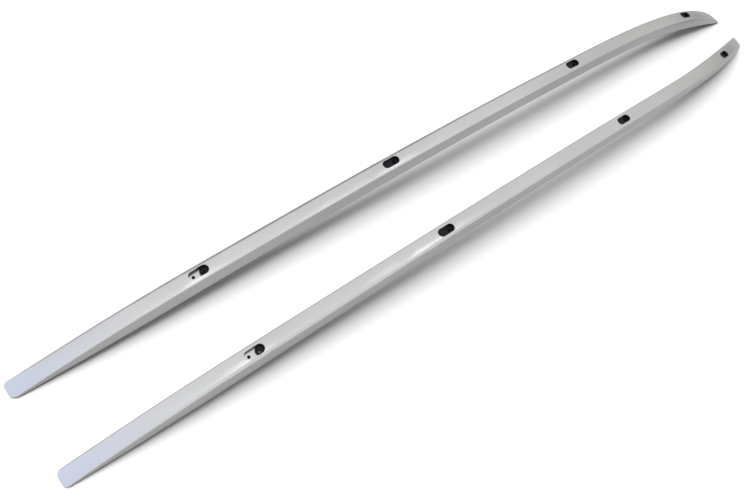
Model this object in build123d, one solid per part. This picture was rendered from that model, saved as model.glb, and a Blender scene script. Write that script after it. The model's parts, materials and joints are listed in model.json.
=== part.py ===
from build123d import *
import math
import os

# A mirrored pair of flush roof side rails for a car, as they lie side by side on a floor.
# Millimetres. X runs forward along the rails, Y to the left, Z up.
# The origin is on the floor, midway between the rails and midway along them.
# Every form is made once for the left rail, and mirrored for the right one.

# Length and place of the pair
rail_length = 1900.0
rail_spacing = 161.3  # between the two centre lines at the rear tips

# Curve of the roof that the rail's lower edge follows, seen from the side
arch_rise = 50.5
arch_skew = 4.1  # moves the crest forward
nose_drop = 28.6  # extra fall of the front end

# Curve of the rail seen from above
bow_out = 3.9
hook_length = 460.0  # the front stretch that turns in and down
hook_in = 37.5
hook_power = 2.37  # how late the turn tightens

# Cross-section of the rail at its full height
rail_height = 29.5  # from the underside of the seal to the top edge
top_width = 29.1
inboard_lean = 6.8  # how far each wall leans out over the full height
outboard_lean = 5.6
crown_rise = 1.1
inboard_chamfer = 1.2
shoulder_radius = 7.0
chamfer_limit = 0.3  # of the metal's height, where an end is thinner than the edge needs
shoulder_limit = 0.6

# Ends, where the height falls away to the roof
tail_taper = 316.0
tail_tip_height = 4.9
tail_inboard_radius = 11.0
tail_outboard_radius = 8.0
nose_taper = 179.0
nose_tip_height = 4.1
nose_round_length = 60.0

# Walls of the extrusion
skin = 2.2
web = 2.5
web_depth = 9.0  # from the top of the rail to the upper face of the web
web_bottom = web_depth + web
lip_width = 6.5
lip_thickness = 2.0
tail_hollow_start = 140.0
nose_hollow_margin = 125.0
bulkhead = 6.0  # solid left between the long hollows and the end pockets
pocket_skin = 2.8
tail_pocket_start = 34.0
nose_pocket_margin = 66.0

# Slots in the top wall, each named by its middle's place from the rear tip
front_slot_margin = 174.5  # from the front tip back to the front slot's middle
slot_places = (337.0, 753.5, 1280.0, rail_length - front_slot_margin)
slot_length = 37.4
slot_width = 16.8
drain_diameter = 6.0  # at the rear end of the first slot, in the web

# Fixings: the hole for an M6 bolt runs through plug, web, sleeve and pad
bolt_clearance = 6.6
web_hole = 7.4
liner_height = 4.5
bolt_head_well = 13.0
spacer_length = 62.0
spacer_wall = 2.4
spacer_roof = 3.0
sleeve_diameter = 11.0
pad_hole = 7.6

# Seal strip under the lips
seal_thickness = 2.0
seal_inset = 1.2
seal_tail_margin = 14.0
seal_nose_margin = 66.0
channel_floor = seal_thickness + lip_thickness

# Clearances between the pieces: where one slides in beside another, and where faces meet
fit = 0.3
contact = 0.2

# Cross-sections that each loft runs through, and how far a cutter overshoots
long_loft = 16
short_loft = 2
overshoot = 5.0


def hook(x):
    """Zero along the straight stretch, then a smooth rise to 1 at the front tip."""
    start = rail_length - hook_length
    return max(0.0, (x - start) / hook_length) ** hook_power


def hump(u):
    return 4.0 * u * (1.0 - u)


def base_at(x):
    """Height above the floor of the line that the seal's underside follows."""
    u = x / rail_length
    arch = arch_rise * hump(u) + 2.0 * arch_skew * hump(u) * (2.0 * u - 1.0)
    return arch + nose_drop * (u - hook(x))


def centre_at(x):
    """Sideways place of the left rail's centre line."""
    return rail_spacing / 2.0 + bow_out * hump(x / rail_length) - hook_in * hook(x)


def height_at(x):
    """Height of the rail and its seal, which tapers in towards both tips."""
    tail = max(0.0, 1.0 - x / tail_taper) ** 2
    nose = max(0.0, 1.0 - (rail_length - x) / nose_taper) ** 2
    return rail_height - (rail_height - tail_tip_height) * tail - (rail_height - nose_tip_height) * nose


def slope(curve, x):
    step = 0.5
    return (curve(x + step) - curve(x - step)) / (2.0 * step)


def point(x, across, up):
    """A point at a station, from the centre line outboard and from the base line up."""
    return Vector(x - rail_length / 2.0, centre_at(x) + across, base_at(x) + up)


def inboard_at(x, up):
    return -(top_width / 2.0 + inboard_lean * (height_at(x) - up) / rail_height)


def outboard_at(x, up):
    return top_width / 2.0 + outboard_lean * (height_at(x) - up) / rail_height


def stations(start, end, count):
    """Places from start to end, closer together near both ends."""
    middle = (start + end) / 2.0
    half = (end - start) / 2.0
    return [middle - half * math.cos(math.pi * i / count) for i in range(count + 1)]


def local_plane(x):
    """Plane on the base line at a station: X forward along the rail, Z square to the roof."""
    rise = slope(base_at, x)
    turn = slope(centre_at, x)
    return Plane(origin=point(x, 0.0, 0.0), x_dir=(1.0, turn, rise), z_dir=(-rise, 0.0, 1.0))


def outer_wire(x):
    """Outline of the rail's section: leaning walls, a crisp inboard edge, a crowned top, a round shoulder."""
    high = height_at(x)
    metal = high - seal_thickness
    chamfer = min(inboard_chamfer, chamfer_limit * metal)
    crown = crown_rise * math.sqrt(metal / (rail_height - seal_thickness))
    low_in = point(x, inboard_at(x, seal_thickness), seal_thickness)
    edge_in = point(x, inboard_at(x, high - chamfer), high - chamfer)
    top_in = point(x, chamfer - top_width / 2.0, high)
    top_out = point(x, top_width / 2.0, high)
    low_out = point(x, outboard_at(x, seal_thickness), seal_thickness)
    edges = [
        Edge.make_line(low_in, edge_in),
        Edge.make_line(edge_in, top_in),
        Edge.make_three_point_arc(top_in, point(x, 0.0, high + crown), top_out),
        Edge.make_line(top_out, low_out),
        Edge.make_line(low_out, low_in),
    ]
    face = Face(Wire(edges))
    shoulder = face.vertices().sort_by_distance(top_out)[0]
    return face.fillet_2d(min(shoulder_radius, shoulder_limit * metal), [shoulder]).outer_wire()


def core_wire(x, inset, low, high):
    """Outline of a hollow or an inner piece: the rail's own walls moved in, between two heights."""
    corners = [
        point(x, inboard_at(x, low) + inset, low),
        point(x, inboard_at(x, high) + inset, high),
        point(x, outboard_at(x, high) - inset, high),
        point(x, outboard_at(x, low) - inset, low),
    ]
    return Wire.make_polygon(corners, close=True)


def above_base(up):
    return lambda x: up


def below_top(depth):
    return lambda x: height_at(x) - depth


def core(start, end, inset, low, high, count):
    """Solid between two stations and two heights, its sides parallel to the rail's walls."""
    return Solid.make_loft([core_wire(x, inset, low(x), high(x)) for x in stations(start, end, count)])


def tail_corner_cutter(inboard, radius):
    """The waste outside one rounded corner of the rear tip, seen from above."""
    edge = inboard_at(0.0, seal_thickness) if inboard else outboard_at(0.0, seal_thickness)
    plan = Plane(origin=point(0.0, edge, 0.0), x_dir=(1.0, slope(centre_at, overshoot), 0.0))
    side = radius + overshoot
    waste = Rectangle(side, side, align=(Align.MIN, Align.MIN))
    waste = Pos(-overshoot, -overshoot) * waste - Pos(radius, radius) * Circle(radius)
    if not inboard:
        waste = mirror(waste, about=Plane.XZ)
    return extrude(plan * waste, amount=2.0 * rail_height, both=True)


def nose_cutter():
    """The waste outside the front tip: its outboard side sweeps round to a point inboard."""
    width = outboard_at(rail_length, 0.0) - inboard_at(rail_length, 0.0)
    heading = (1.0, slope(centre_at, rail_length), 0.0)
    plan = Plane(origin=point(rail_length, inboard_at(rail_length, 0.0), 0.0), x_dir=heading)
    waste = Rectangle(2.0 * nose_round_length, 2.0 * width, align=(Align.MIN, Align.MIN))
    waste = Pos(-nose_round_length, 0.0) * (waste - Ellipse(nose_round_length, width))
    return extrude(plan * waste, amount=2.0 * rail_height, both=True)


def trim_ends(shape):
    shape = shape - tail_corner_cutter(True, tail_inboard_radius)
    shape = shape - tail_corner_cutter(False, tail_outboard_radius)
    return shape - nose_cutter()


def upright(x, sketch, low, high):
    """A prism on the base line at a station, between two heights, square to the roof."""
    plane = local_plane(x)
    squareness = plane.z_dir.Z  # a height measured square to the roof is this much shorter
    return extrude(plane * Pos(0.0, 0.0, low * squareness) * sketch, amount=(high - low) * squareness)


def bolt_station(place):
    """The bolt stands in the front end of its slot."""
    return place + (slot_length - slot_width) / 2.0


def hollows():
    """What is open inside the extrusion: chamber, channel, the mouth between the lips, end pockets."""
    start = tail_hollow_start
    end = rail_length - nose_hollow_margin
    pocket_end = rail_length - nose_pocket_margin
    ceiling = below_top(pocket_skin)
    yield core(start, end, skin, below_top(web_depth), below_top(skin), long_loft)
    yield core(start, end, skin, above_base(channel_floor), below_top(web_bottom), long_loft)
    yield core(start, end, lip_width, above_base(0.0), below_top(web_bottom + contact), long_loft)
    yield core(tail_pocket_start, start - bulkhead, lip_width, above_base(0.0), ceiling, short_loft)
    yield core(end + bulkhead, pocket_end, lip_width, above_base(0.0), ceiling, short_loft)


def rail():
    """One stretch-bent extrusion: skin, web and lips, with four slots and the holes in its web."""
    body = Solid.make_loft([outer_wire(x) for x in stations(0.0, rail_length, long_loft)])
    body = trim_ends(body)
    for hollow in hollows():
        body = body - hollow
    for place in slot_places:
        chamber = height_at(place) - (skin + web_depth) / 2.0
        slot = SlotOverall(slot_length, slot_width)
        body = body - upright(place, slot, chamber, height_at(place) + overshoot)
        hole = Circle(web_hole / 2.0)
        body = body - upright(bolt_station(place), hole, chamber - web_depth, chamber)
    rear_end = 2.0 * slot_places[0] - bolt_station(slot_places[0])
    chamber = height_at(rear_end) - (skin + web_depth) / 2.0
    return body - upright(rear_end, Circle(drain_diameter / 2.0), chamber - web_depth, chamber)


def seal_strip():
    """Rubber gasket under the lips and round both tips."""
    end = rail_length - seal_inset
    top = above_base(seal_thickness - contact)
    strip = trim_ends(core(seal_inset, end, seal_inset, above_base(0.0), top, long_loft))
    inner_end = rail_length - seal_nose_margin
    low = above_base(-seal_thickness)
    high = above_base(2.0 * seal_thickness)
    return strip - core(seal_tail_margin, inner_end, lip_width, low, high, long_loft)


def on_the_web(place, outline):
    """A black moulded plug on the web, with a well for the bolt's head."""
    bolt = bolt_station(place)
    web_top = height_at(place) - web_depth
    plug = upright(place, outline, web_top + contact, web_top + liner_height)
    return plug - upright(bolt, Circle(bolt_head_well / 2.0), 0.0, height_at(bolt))


def slot_liner(place):
    """The plug that closes a slot from below."""
    return on_the_web(place, SlotOverall(slot_length - 2.0 * fit, slot_width - 2.0 * fit))


def bolt_ring(place):
    """The short plug of the first slot, which lets the bright web show in the slot's rear half."""
    return on_the_web(place, Pos(bolt_station(place) - place, 0.0) * Circle(slot_width / 2.0 - fit))


def spacer(place):
    """Black moulded block between the web and the roof, cored out before and behind its sleeve."""
    bolt = bolt_station(place)
    half = spacer_length / 2.0
    inset = lip_width + fit
    ceiling = below_top(web_bottom + contact)
    block = core(bolt - half, bolt + half, inset, above_base(seal_thickness), ceiling, short_loft)
    near = sleeve_diameter / 2.0 + spacer_wall
    far = half - spacer_wall
    inset = inset + spacer_wall
    ceiling = below_top(web_bottom + spacer_roof)
    block = block - core(bolt - far, bolt - near, inset, above_base(0.0), ceiling, short_loft)
    block = block - core(bolt + near, bolt + far, inset, above_base(0.0), ceiling, short_loft)
    socket = Rectangle(sleeve_diameter + contact, sleeve_diameter + contact)
    return block - upright(bolt, socket, 0.0, height_at(bolt))


def sleeve(place):
    """Steel tube that carries the bolt's clamping force past the moulded block."""
    bolt = bolt_station(place)
    ring = Circle(sleeve_diameter / 2.0) - Circle(bolt_clearance / 2.0)
    return upright(bolt, ring, seal_thickness, height_at(bolt) - web_bottom - 2.0 * fit)


def foot_pad(place):
    """Rubber pad under a spacer, which seals the bolt's hole in the roof."""
    bolt = bolt_station(place)
    half = spacer_length / 2.0
    top = above_base(seal_thickness - contact)
    pad = core(bolt - half, bolt + half, lip_width + fit, above_base(0.0), top, short_loft)
    return pad - upright(bolt, Circle(pad_hole / 2.0), -overshoot, overshoot)


def write_pair(name, pieces):
    """Writes the left pieces of one node and, as its mirror image, the right ones."""
    left = Compound(label="left_" + name, children=pieces)
    right = Compound(label="right_" + name, children=[mirror(piece, about=Plane.XZ) for piece in pieces])
    export_step(left, "parts/" + left.label + ".step")
    export_step(right, "parts/" + right.label + ".step")


def build():
    os.makedirs("parts", exist_ok=True)
    write_pair("rail", [rail()])
    write_pair("seal_strip", [seal_strip()])
    write_pair("bolt_ring", [bolt_ring(slot_places[0])])
    write_pair("slot_liners", [slot_liner(place) for place in slot_places[1:]])
    for number, place in enumerate(slot_places, start=1):
        write_pair(f"spacer_{number}", [spacer(place)])
    write_pair("sleeves", [sleeve(place) for place in slot_places])
    write_pair("foot_pads", [foot_pad(place) for place in slot_places])


build()
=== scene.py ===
import json
import math
import bpy
from mathutils import Matrix, Vector


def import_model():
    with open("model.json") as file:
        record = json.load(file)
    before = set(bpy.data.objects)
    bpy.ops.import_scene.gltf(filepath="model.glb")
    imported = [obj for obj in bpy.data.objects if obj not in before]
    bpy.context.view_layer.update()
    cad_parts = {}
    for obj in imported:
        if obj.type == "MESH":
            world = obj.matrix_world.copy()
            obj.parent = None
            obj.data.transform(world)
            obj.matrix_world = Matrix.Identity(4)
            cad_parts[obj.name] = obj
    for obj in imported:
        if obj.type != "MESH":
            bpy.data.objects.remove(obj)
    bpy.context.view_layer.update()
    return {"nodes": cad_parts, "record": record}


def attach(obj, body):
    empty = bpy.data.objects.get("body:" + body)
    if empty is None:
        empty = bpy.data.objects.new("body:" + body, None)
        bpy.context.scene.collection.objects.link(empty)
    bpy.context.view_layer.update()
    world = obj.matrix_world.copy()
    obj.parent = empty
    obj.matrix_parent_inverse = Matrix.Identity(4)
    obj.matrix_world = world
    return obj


# A pair of satin aluminium roof side rails on a white studio floor.
# Metres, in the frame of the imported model: X forward along the rails, Y to the left, Z up.

# Camera, fitted to the photograph's edges and slots
CAMERA_PLACE = Vector((-0.9486, -0.3498, 1.2231))
CAMERA_HEADING = math.radians(26.47)  # from +X towards +Y
CAMERA_DIP = math.radians(59.11)  # below the horizon
CAMERA_ROLL = math.radians(29.01)
SENSOR_WIDTH = 36.0
FOCAL_LENGTH = 36.0
FARTHEST_SEEN = 50.0

# Lamps: one wide soft lamp that casts the shadow and isn't mirrored, and four narrow ones that
# glint on the metal
KEY_FROM = Vector((-0.45, 0.28, 1.0))
KEY_WIDTH = math.radians(44.0)
KEY_STRENGTH = 3.25
GLINTS_FROM = (
    Vector((-0.01, 0.05, 1.00)),
    Vector((0.08, 0.05, 0.99)),
    Vector((0.35, 0.04, 0.93)),
    Vector((0.43, 0.04, 0.90)),
)
GLINT_WIDTH = math.radians(6.0)
GLINT_STRENGTH = 0.016

# Surroundings: even ambient light, and a bright studio that shows in gloss alone, mostly in the
# metal's
WHITE = (1.0, 1.0, 1.0, 1.0)
AMBIENT = 0.25
# The studio's colour by direction: the X of the unit direction, from far behind the rails to far
# ahead of them, and the linear colour there
STUDIO = (
    (-1.00, (0.45, 0.47, 0.50, 1.0)),
    (-0.70, (0.70, 0.76, 0.86, 1.0)),
    (-0.58, (0.92, 1.00, 1.20, 1.0)),
    (-0.45, (1.00, 1.10, 1.42, 1.0)),
    (-0.30, (1.01, 1.02, 1.10, 1.0)),
    (-0.12, (0.97, 0.97, 0.99, 1.0)),
    (0.00, (0.94, 0.94, 0.94, 1.0)),
    (0.62, (0.91, 0.91, 0.90, 1.0)),
    (0.78, (0.84, 0.84, 0.82, 1.0)),
    (0.90, (0.68, 0.68, 0.66, 1.0)),
    (0.96, (0.52, 0.52, 0.50, 1.0)),
    (1.00, (0.38, 0.38, 0.36, 1.0)),
)
# The studio dims towards the left: the dot product of the direction and SIDE_FACING runs from
# SIDE_START, at full strength, to SIDE_END, at SIDE_LEVEL
SIDE_FACING = (0.4, 1.0, 0.0)
SIDE_START, SIDE_END = 0.84, 1.02
SIDE_LEVEL = 0.35

# Floor: near white to the camera, grey in what mirrors it and in the light it returns
FLOOR_SEEN = (0.93, 0.93, 0.93, 1.0)
FLOOR_MIRRORED = (0.47, 0.47, 0.47, 1.0)
FLOOR_ROUGHNESS = 0.9
FLOOR_SIZE = 14.0

# Finishes. Each has a dark and a light linear colour, roughness from its smoothest to its
# roughest spot, and a relief of some strength and depth. Noise varies all three.
METAL_COLOURS = ((0.60, 0.605, 0.60, 1.0), (0.68, 0.685, 0.68, 1.0))
METAL_ROUGHNESS = (0.20, 0.30)
METAL_RELIEF = (0.05, 0.0002)
RUBBER_COLOURS = ((0.016, 0.016, 0.018, 1.0), (0.030, 0.030, 0.032, 1.0))
RUBBER_ROUGHNESS = (0.75, 0.92)
RUBBER_RELIEF = (0.25, 0.0002)
PLASTIC_COLOURS = ((0.004, 0.004, 0.006, 1.0), (0.009, 0.009, 0.013, 1.0))
PLASTIC_ROUGHNESS = (0.42, 0.6)
PLASTIC_RELIEF = (0.2, 0.0001)
PLASTIC_SPECULAR = 0.2
STEEL_COLOURS = ((0.045, 0.050, 0.065, 1.0), (0.075, 0.082, 0.100, 1.0))
STEEL_ROUGHNESS = (0.3, 0.45)
STEEL_RELIEF = (0.1, 0.0001)

# Noise: how dense it is along each axis, and its scale. The metal's is drawn out along the rail.
EVEN = (1.0, 1.0, 1.0)
METAL_GRAIN = (6.0, 900.0, 900.0)
METAL_CLOUDS = (3.0, 9.0, 9.0)
METAL_CLOUD_DETAIL = 2.0
RUBBER_SPECK = 900.0
PLASTIC_SPECK = 1500.0
STEEL_CLOUDS = 120.0
NOISE_DETAIL = 4.0
# Noise levels at which a finish is wholly dark and wholly light
WHOLLY_DARK, WHOLLY_LIGHT = 0.3, 0.7

# Bolt wells: middle of each well's wall on the left rail, and how far its axis leans along X
WELLS = (
    (Vector((-0.60453, 0.08298, 0.05500)), 0.0804),
    (Vector((-0.18719, 0.08440, 0.08132)), 0.0435),
    (Vector((0.34070, 0.08405, 0.08885)), -0.0177),
    (Vector((0.78942, 0.06871, 0.05647)), -0.1603),
)
WELL_FLOOR = -0.00215  # from the middle of the wall down to the floor of the well
# Half section of the dished washer in each well: radius and height over the floor
WASHER_SECTION = (
    (0.00380, 0.0000),
    (0.00625, 0.0000),
    (0.00640, 0.0002),
    (0.00640, 0.0014),
    (0.00622, 0.0016),
    (0.00590, 0.0016),
    (0.00420, 0.0009),
    (0.00380, 0.0006),
)
WASHER_SIDES = 48


class Surface:
    """A Principled material whose colour, roughness and relief vary over the object."""

    def __init__(self, name):
        self.material = bpy.data.materials.new(name)
        self.material.use_nodes = True
        self.tree = self.material.node_tree
        self.shader = self.tree.nodes["Principled BSDF"]
        self.place = self.tree.nodes.new("ShaderNodeTexCoord")

    def noise(self, stretch=EVEN, scale=1.0, detail=NOISE_DETAIL):
        """Noise in the object's own coordinates, drawn out along each axis by stretch."""
        mapping = self.tree.nodes.new("ShaderNodeMapping")
        mapping.inputs["Scale"].default_value = stretch
        texture = self.tree.nodes.new("ShaderNodeTexNoise")
        texture.inputs["Scale"].default_value = scale
        texture.inputs["Detail"].default_value = detail
        self.tree.links.new(self.place.outputs["Object"], mapping.inputs["Vector"])
        self.tree.links.new(mapping.outputs["Vector"], texture.inputs["Vector"])
        return texture.outputs["Fac"]

    def colour(self, source, colours):
        """Runs from the dark to the light one of two colours."""
        node = self.tree.nodes.new("ShaderNodeValToRGB")
        dark, light = node.color_ramp.elements
        dark.position, light.position = WHOLLY_DARK, WHOLLY_LIGHT
        dark.color, light.color = colours
        self.tree.links.new(source, node.inputs["Fac"])
        self.tree.links.new(node.outputs["Color"], self.shader.inputs["Base Color"])

    def roughness(self, source, span):
        node = self.tree.nodes.new("ShaderNodeMapRange")
        node.inputs["To Min"].default_value, node.inputs["To Max"].default_value = span
        self.tree.links.new(source, node.inputs["Value"])
        self.tree.links.new(node.outputs["Result"], self.shader.inputs["Roughness"])

    def relief(self, source, amount):
        node = self.tree.nodes.new("ShaderNodeBump")
        node.inputs["Strength"].default_value, node.inputs["Distance"].default_value = amount
        self.tree.links.new(source, node.inputs["Height"])
        self.tree.links.new(node.outputs["Normal"], self.shader.inputs["Normal"])


def satin_metal():
    """Anodised aluminium: fine grain drawn out along the rail, soft cloudy variation."""
    surface = Surface("satin_aluminium")
    grain = surface.noise(METAL_GRAIN)
    clouds = surface.noise(METAL_CLOUDS, detail=METAL_CLOUD_DETAIL)
    surface.shader.inputs["Metallic"].default_value = 1.0
    surface.colour(clouds, METAL_COLOURS)
    surface.roughness(grain, METAL_ROUGHNESS)
    surface.relief(grain, METAL_RELIEF)
    return surface.material


def rubber():
    surface = Surface("black_rubber")
    speck = surface.noise(scale=RUBBER_SPECK)
    surface.colour(speck, RUBBER_COLOURS)
    surface.roughness(speck, RUBBER_ROUGHNESS)
    surface.relief(speck, RUBBER_RELIEF)
    return surface.material


def moulded_plastic():
    surface = Surface("black_moulding")
    speck = surface.noise(scale=PLASTIC_SPECK)
    surface.shader.inputs["Specular IOR Level"].default_value = PLASTIC_SPECULAR
    surface.colour(speck, PLASTIC_COLOURS)
    surface.roughness(speck, PLASTIC_ROUGHNESS)
    surface.relief(speck, PLASTIC_RELIEF)
    return surface.material


def black_zinc():
    """Steel with a black passivated zinc plating."""
    surface = Surface("black_zinc")
    clouds = surface.noise(scale=STEEL_CLOUDS)
    surface.shader.inputs["Metallic"].default_value = 1.0
    surface.colour(clouds, STEEL_COLOURS)
    surface.roughness(clouds, STEEL_ROUGHNESS)
    surface.relief(clouds, STEEL_RELIEF)
    return surface.material


def show(name, data):
    """Puts a new object with this data in the scene."""
    holder = bpy.data.objects.new(name, data)
    bpy.context.scene.collection.objects.link(holder)
    return holder


def well_washer(name, place, up, finish):
    """A dished ring turned from its half section, standing on the floor of a bolt well."""
    across = Vector((0.0, 1.0, 0.0))
    along = across.cross(up)
    points = []
    for side in range(WASHER_SIDES):
        angle = 2.0 * math.pi * side / WASHER_SIDES
        outward = math.cos(angle) * along + math.sin(angle) * across
        for radius, height in WASHER_SECTION:
            points.append(place + radius * outward + (WELL_FLOOR + height) * up)
    count = len(WASHER_SECTION)
    faces = []
    for side in range(WASHER_SIDES):
        here, there = side * count, (side + 1) % WASHER_SIDES * count
        for low in range(count):
            high = (low + 1) % count
            faces.append((here + low, there + low, there + high, here + high))
    mesh = bpy.data.meshes.new(name)
    mesh.from_pydata(points, [], faces)
    mesh.materials.append(finish)
    washer = show(name, mesh)
    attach(washer, "root")


def well_washers(finish):
    for number, (place, lean) in enumerate(WELLS, start=1):
        up = Vector((-lean, 0.0, math.sqrt(1.0 - lean * lean)))
        mirrored = Vector((place.x, -place.y, place.z))
        well_washer(f"left_well_washer_{number}", place, up, finish)
        well_washer(f"right_well_washer_{number}", mirrored, up, finish)


def dress(frame, finishes):
    """Gives each node of the model the finish of its material slot."""
    slots = {part["node"]: part["material_slot"] for part in frame["record"]["subparts"]}
    for name, node in frame["nodes"].items():
        node.data.materials.clear()
        node.data.materials.append(finishes[slots[name]])


def floor_finish():
    """Matt, in one colour for the camera and another for every other ray."""
    material = bpy.data.materials.new("floor")
    material.use_nodes = True
    tree = material.node_tree
    shader = tree.nodes["Principled BSDF"]
    shader.inputs["Roughness"].default_value = FLOOR_ROUGHNESS
    shader.inputs["Specular IOR Level"].default_value = 0.0
    light_path = tree.nodes.new("ShaderNodeLightPath")
    colour = tree.nodes.new("ShaderNodeMix")
    colour.data_type = "RGBA"
    colour.inputs["A"].default_value = FLOOR_MIRRORED
    colour.inputs["B"].default_value = FLOOR_SEEN
    tree.links.new(light_path.outputs["Is Camera Ray"], colour.inputs["Factor"])
    tree.links.new(colour.outputs["Result"], shader.inputs["Base Color"])
    return material


def floor():
    """A plain square that takes the shadow."""
    half = FLOOR_SIZE / 2.0
    corners = [(-half, -half, 0.0), (half, -half, 0.0), (half, half, 0.0), (-half, half, 0.0)]
    mesh = bpy.data.meshes.new("floor")
    mesh.from_pydata(corners, [], [(0, 1, 2, 3)])
    mesh.materials.append(floor_finish())
    ground = show("floor", mesh)


def background(tree, strength=1.0):
    node = tree.nodes.new("ShaderNodeBackground")
    node.inputs["Color"].default_value = WHITE
    node.inputs["Strength"].default_value = strength
    return node


def world():
    """White to the camera, the studio in gloss, and a plain level as ambient light."""
    surroundings = bpy.data.worlds.new("studio")
    surroundings.use_nodes = True
    surroundings.cycles.sampling_method = "NONE"
    tree = surroundings.node_tree
    tree.nodes.clear()
    light_path = tree.nodes.new("ShaderNodeLightPath")
    direction = tree.nodes.new("ShaderNodeTexCoord")
    split = tree.nodes.new("ShaderNodeSeparateXYZ")
    # The direction's X runs from -1 to 1, the ramp of the studio's colours from 0 to 1
    along = tree.nodes.new("ShaderNodeMapRange")
    along.inputs["From Min"].default_value = -1.0
    facing = tree.nodes.new("ShaderNodeVectorMath")
    facing.operation = "DOT_PRODUCT"
    facing.inputs[1].default_value = SIDE_FACING
    across = tree.nodes.new("ShaderNodeMapRange")
    across.inputs["From Min"].default_value = SIDE_START
    across.inputs["From Max"].default_value = SIDE_END
    across.inputs["To Min"].default_value = 1.0
    across.inputs["To Max"].default_value = SIDE_LEVEL
    studio = tree.nodes.new("ShaderNodeValToRGB")
    stops = studio.color_ramp.elements
    while len(stops) < len(STUDIO):
        stops.new(0.5)  # each gets its own position below
    for stop, (place, colour) in zip(stops, STUDIO):
        stop.position = (place + 1.0) / 2.0
        stop.color = colour
    ambient = background(tree, AMBIENT)
    mirrored = background(tree)
    white = background(tree)
    gloss = tree.nodes.new("ShaderNodeMixShader")
    seen = tree.nodes.new("ShaderNodeMixShader")
    output = tree.nodes.new("ShaderNodeOutputWorld")
    for source, target in (
        (direction.outputs["Generated"], split.inputs["Vector"]),
        (split.outputs["X"], along.inputs["Value"]),
        (along.outputs["Result"], studio.inputs["Fac"]),
        (studio.outputs["Color"], mirrored.inputs["Color"]),
        (direction.outputs["Generated"], facing.inputs[0]),
        (facing.outputs["Value"], across.inputs["Value"]),
        (across.outputs["Result"], mirrored.inputs["Strength"]),
        (light_path.outputs["Is Glossy Ray"], gloss.inputs["Fac"]),
        (ambient.outputs["Background"], gloss.inputs[1]),
        (mirrored.outputs["Background"], gloss.inputs[2]),
        (light_path.outputs["Is Camera Ray"], seen.inputs["Fac"]),
        (gloss.outputs["Shader"], seen.inputs[1]),
        (white.outputs["Background"], seen.inputs[2]),
        (seen.outputs["Shader"], output.inputs["Surface"]),
    ):
        tree.links.new(source, target)
    bpy.context.scene.world = surroundings


def lamp(name, source, width, strength):
    """A far round lamp that shines from the direction of source."""
    light = bpy.data.lights.new(name, "SUN")
    light.energy = strength
    light.angle = width
    holder = show(name, light)
    holder.rotation_euler = source.to_track_quat("Z", "Y").to_euler()
    return holder


def lamps():
    lamp("key", KEY_FROM, KEY_WIDTH, KEY_STRENGTH).visible_glossy = False
    for number, source in enumerate(GLINTS_FROM, start=1):
        lamp(f"glint_{number}", source, GLINT_WIDTH, GLINT_STRENGTH)


def camera():
    """Looks down on the pair from behind and to the right, rolled as the photograph is."""
    level = math.cos(CAMERA_DIP)
    forward = Vector(
        (
            math.cos(CAMERA_HEADING) * level,
            math.sin(CAMERA_HEADING) * level,
            -math.sin(CAMERA_DIP),
        )
    )
    level_right = forward.cross(Vector((0.0, 0.0, 1.0))).normalized()
    level_up = level_right.cross(forward)
    right = math.cos(CAMERA_ROLL) * level_right + math.sin(CAMERA_ROLL) * level_up
    up = math.cos(CAMERA_ROLL) * level_up - math.sin(CAMERA_ROLL) * level_right
    lens = bpy.data.cameras.new("camera")
    lens.sensor_width = SENSOR_WIDTH
    lens.lens = FOCAL_LENGTH
    lens.clip_end = FARTHEST_SEEN
    holder = show("camera", lens)
    turn = Matrix((right, up, -forward)).transposed().to_4x4()
    holder.matrix_world = Matrix.Translation(CAMERA_PLACE) @ turn
    bpy.context.scene.camera = holder


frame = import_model()
finishes = {
    "rail_metal": satin_metal(),
    "rubber": rubber(),
    "black_plastic": moulded_plastic(),
    "steel": black_zinc(),
}
dress(frame, finishes)
well_washers(finishes["black_plastic"])
floor()
world()
lamps()
camera()
bpy.context.scene.view_settings.view_transform = "Standard"
